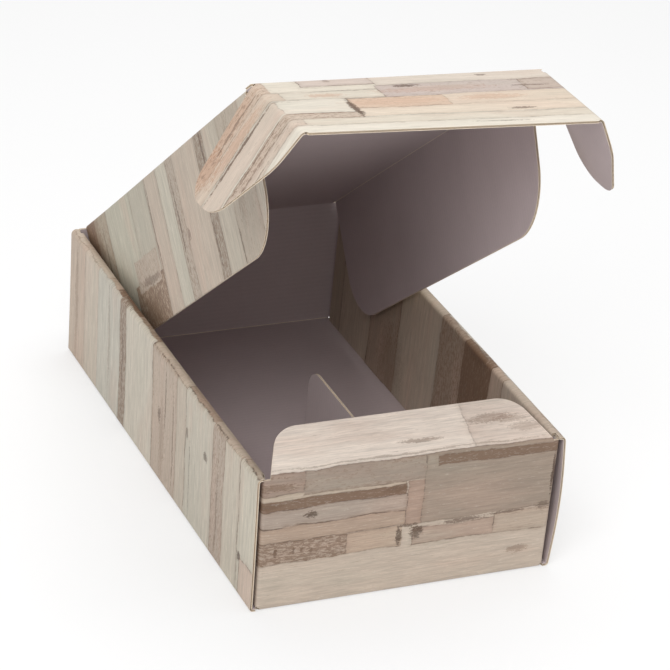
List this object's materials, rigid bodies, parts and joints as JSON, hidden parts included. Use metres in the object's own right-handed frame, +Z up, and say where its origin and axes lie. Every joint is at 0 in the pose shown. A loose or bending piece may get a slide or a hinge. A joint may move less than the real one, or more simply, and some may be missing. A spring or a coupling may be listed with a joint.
{
  "type": "bottle shipping box",
  "caption": "Long shallow corrugated box with rolled side walls, hinged lid with dust flaps and tuck flap, hold-down lip and divider card for bottles.",
  "frame": {"origin": "middle of the tray's underside, on the surface that the box stands on", "axes": "+X to the right seen from the front, +Y from the front wall to the lid's hinge, +Z up"},
  "size_m": [0.2457, 0.3354, 0.2965],
  "materials": {
    "printed_board": "printed with worn planks outside, matt varnish",
    "plain_board": "uncoated liner, matt"
  },
  "bodies": {
    "tray": {"tray": "printed_board", "bottle_divider": "plain_board"},
    "front_lip": {"front_lip": "printed_board"},
    "lid": {"lid": "printed_board"},
    "left_dust_flap": {"left_dust_flap": "printed_board"},
    "right_dust_flap": {"right_dust_flap": "printed_board"},
    "tuck_flap": {"tuck_flap": "printed_board"},
    "left_ear": {"left_ear": "printed_board"},
    "right_ear": {"right_ear": "printed_board"}
  },
  "joints": [
    {"name": "lid_hinge", "type": "hinge", "parent": "tray", "child": "lid", "pos_m": [0, 0.16275, 0.08825], "axis": [-1, 0, 0], "range_deg": [-34, 142]},
    {"name": "tuck_flap_hinge", "type": "hinge", "parent": "lid", "child": "tuck_flap", "pos_m": [0, -0.09587, 0.29323], "axis": [1, 0, 0], "range_deg": [-36.5, 53.5]},
    {"name": "left_ear_hinge", "type": "hinge", "parent": "tuck_flap", "child": "left_ear", "pos_m": [-0.089, -0.09587, 0.29323], "axis": [0, -0.9995, 0.0332], "range_deg": [-58, 32]},
    {"name": "right_ear_hinge", "type": "hinge", "parent": "tuck_flap", "child": "right_ear", "pos_m": [0.089, -0.09587, 0.29323], "axis": [0, 0.9995, -0.0332], "range_deg": [-63.5, 26.5]},
    {"name": "left_dust_flap_hinge", "type": "hinge", "parent": "lid", "child": "left_dust_flap", "pos_m": [-0.0862, 0.16228, 0.08766], "axis": [0, -0.7837, 0.6211], "range_deg": [0, 84]},
    {"name": "right_dust_flap_hinge", "type": "hinge", "parent": "lid", "child": "right_dust_flap", "pos_m": [0.0862, 0.16228, 0.08766], "axis": [0, 0.7837, -0.6211], "range_deg": [0, 84]},
    {"name": "front_lip_hinge", "type": "hinge", "parent": "tray", "child": "front_lip", "pos_m": [0, -0.16275, 0.08675], "axis": [1, 0, 0], "range_deg": [-44, 66]}
  ]
}
